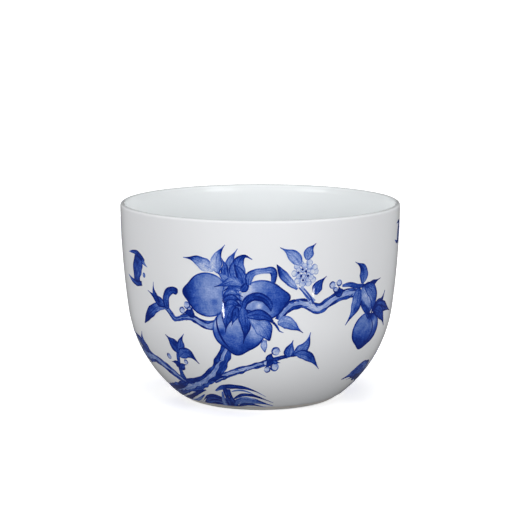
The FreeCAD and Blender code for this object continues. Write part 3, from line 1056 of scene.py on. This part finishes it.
bud_cups = [
    leaf([(-18.4, 27), (-19.8, 28.2), (-21.6, 27.6)], 1.8, (0.9, 0.85, 0.8)),
    leaf([(-18.4, 26.8), (-18.8, 28.6), (-18.4, 30.2)], 1.3, (0.85, 0.75, 0.5)),
    leaf([(22.6, 32.6), (21.8, 33.8), (21.4, 35)], 1.7, (0.85, 0.9, 0.8)),
    leaf([(22.6, 32.4), (20.8, 33), (19.6, 34.2)], 1.4, (0.8, 0.8, 0.6)),
    leaf([(2.6, 15.8), (2.8, 17.4), (3.6, 18.4)], 1.9, (0.9, 0.85, 0.8)),
    leaf([(3.2, 16.4), (2.6, 15.2), (1.4, 14)], 1.7, (0.9, 0.85, 0.7)),
    leaf([(3.4, 16.2), (4.4, 15.6), (5.8, 15.4)], 1.3, (0.85, 0.7, 0.5)),
]
film("painted_bud_cups", [bud_cups], leaf_paint, 0.04)
film(
    "painted_far_blossoms",
    far_bough(big_blossom, bough_buds) + far_tree(twig_buds, low_buds) + far_sprig(sprig_buds),
    blossom_paint, 0.02,
)
film(
    "painted_far_bud_cups",
    far_tree(bud_cups[:2] + bud_cups[4:]) + far_bough(bud_cups[2:4]) + far_sprig(sprig_stem),
    leaf_paint, 0.04,
)


# ---------------------------------------------------------- the painted bats
# Small bats in flight, a sign of good luck, each in a few sweeps of a full
# brush: the body, the two hooked wings and a dot.
flat_paint = cobalt_material("full_brush_paint", Contour_width=0.45, Contour=0.16, Streaks=0.5, Grain=0.45)


def bat(place, size=1.0):
    """A bat on its side at a place, its wings' hooks pointing to the left."""

    def put(points):
        return [(place[0] + size * a, place[1] + size * u) for a, u in points]

    def sweep(points, widths, tones, **more):
        return mark(put(points), [size * w for w in widths], tones, **more)

    body = ((2.4, 4), (0.8, 2), (-0.2, 0), (-0.7, -2), (-0.7, -3.7))
    return [
        sweep(body, (2.4, 4.6, 5, 4, 3.4), (0.88, 0.82, 0.78, 0.8, 0.9), side=-0.1),
        sweep(((4, 2.6), (1.6, 4), (-1.2, 4.5), (-5, 4.1)), (1.2, 1.7, 1, 0.1), (0.9, 0.88, 0.75, 0.3)),
        sweep(((2, -3.4), (-0.8, -3.7), (-3.6, -3.4), (-7, -2.2)),
              (1.3, 1.6, 1.2, 0.1), (0.92, 0.9, 0.75, 0.3)),
        sweep(((3, 2.8), (4.2, 1.9), (5.4, 1.3)), (1.7, 0.8, 0.1), (0.8, 0.5, 0.2), across=4),
    ] + dots(put([(3.5, -1)]), 1.3 * size, 0.45)


left_bat = bat((-39.2, 37))
right_bat = bat((51.4, 45.2), 0.66)
film(
    "painted_bats",
    [left_bat, right_bat, far_side(left_bat, 84, -1), far_side(right_bat, -108)],
    flat_paint, 0.02,
)


# ------------------------------------------------------- the painted grasses
# Clumps of grass and broad leaves at the foot of the tree, in quick dark
# strokes that start at the foot and arch over.
grass = [
    leaf([(-11.8, 1.6), (-15.6, 3), (-20.4, 2.4), (-28.6, 0.3)], 4.2, (0.69, 0.74, 0.79, 0.79), -0.08),
    leaf([(-13, 2.9), (-17, 4.4), (-20.6, 4), (-26, 1.8)], 1.5, (0.89, 0.92, 0.79)),
    leaf([(-13, 2), (-17, 3.1), (-20.6, 2.7), (-25.6, 1.2)], 0.9, (0.89, 0.94, 0.84)),
    leaf([(-13.6, 0.8), (-17, 1.8), (-21, 1.5), (-26, 0.2)], 1.2, (0.89, 0.94, 0.89)),
    mark([(-15.4, 1), (-14.7, 2.8), (-14, 4.6), (-13.5, 6.2)], (1.1, 1, 0.8, 0.4), (0.45, 0.4, 0.4)),
    mark([(-12.9, 0.9), (-12.5, 3), (-12.4, 5), (-12.3, 7.4)], (1.4, 1.2, 1.1, 1.2), (0.85, 0.8, 0.85)),
    mark([(-10.4, 1), (-10.6, 2.8), (-10.9, 4.6), (-11, 7.2)], (1.8, 1.4, 0.9, 1), (0.85, 0.78, 0.75)),
    leaf([(-16, 6.3), (-12.4, 7.8), (-8.6, 8.1), (-5, 7.8), (-1.4, 6.7), (2, 5)],
         1.6, (0.54, 0.84, 0.89, 0.79, 0.44), 0.05),
    mark([(-10, 6.5), (-7.4, 7), (-5, 6.8), (-2.2, 5.8)], (0.3, 0.6, 0.5, 0.1), (0.45, 0.5, 0.4)),
    leaf([(-10.6, 2), (-7.6, 3.3), (-4, 3.6), (0, 3), (5.4, 1.7)],
         2.8, (0.59, 0.6, 0.66, 0.72, 0.54), 0.12),
    leaf([(-10, 4), (-6.4, 5.5), (-2.6, 5.4), (1, 4.3), (5.2, 2.8)], 1.2, (0.84, 0.92, 0.92, 0.64)),
    mark([(-8.6, 4.5), (-6.4, 4.6), (-4, 4.5), (-1.4, 3.9)], (0.2, 0.6, 0.5, 0.1), (0.4, 0.35, 0.4)),
    leaf([(-9.6, 1.2), (-6.4, 2.2), (-3, 2.2), (2.6, 1.1)], 1.3, (0.86, 0.89, 0.84, 0.54)),
]
edge_grass = [
    leaf([(45.4, 7.4), (41.4, 9), (37, 9.3), (30.6, 8)], 6.6, (0.85, 0.82, 0.8, 0.75), -0.05),
    leaf([(45.4, 8), (41, 11), (37.4, 11.4), (33.4, 9.6)], 2, (0.75, 0.6, 0.75, 0.6)),
    leaf([(44.4, 5.6), (41.2, 7.4), (38, 7.7), (34, 7.4)], 1.7, (0.95, 0.95, 0.85)),
    leaf([(46, 5), (48.6, 7.8), (50.4, 10.6), (51, 14)], 2.6, (0.9, 0.85, 0.8, 0.5)),
    mark([(47, 1.4), (46.2, 4), (45.6, 6.6), (44.6, 9)], (3.4, 2.6, 1.8, 0.6), (0.9, 0.9, 0.85)),
]
film("painted_grasses", [grass, edge_grass], flat_paint, 0.03)
film(
    "painted_far_grasses",
    far_tree(grass) + [far_side(grass, -125, -1), far_side(edge_grass, -28, -1)],
    flat_paint, 0.03,
)
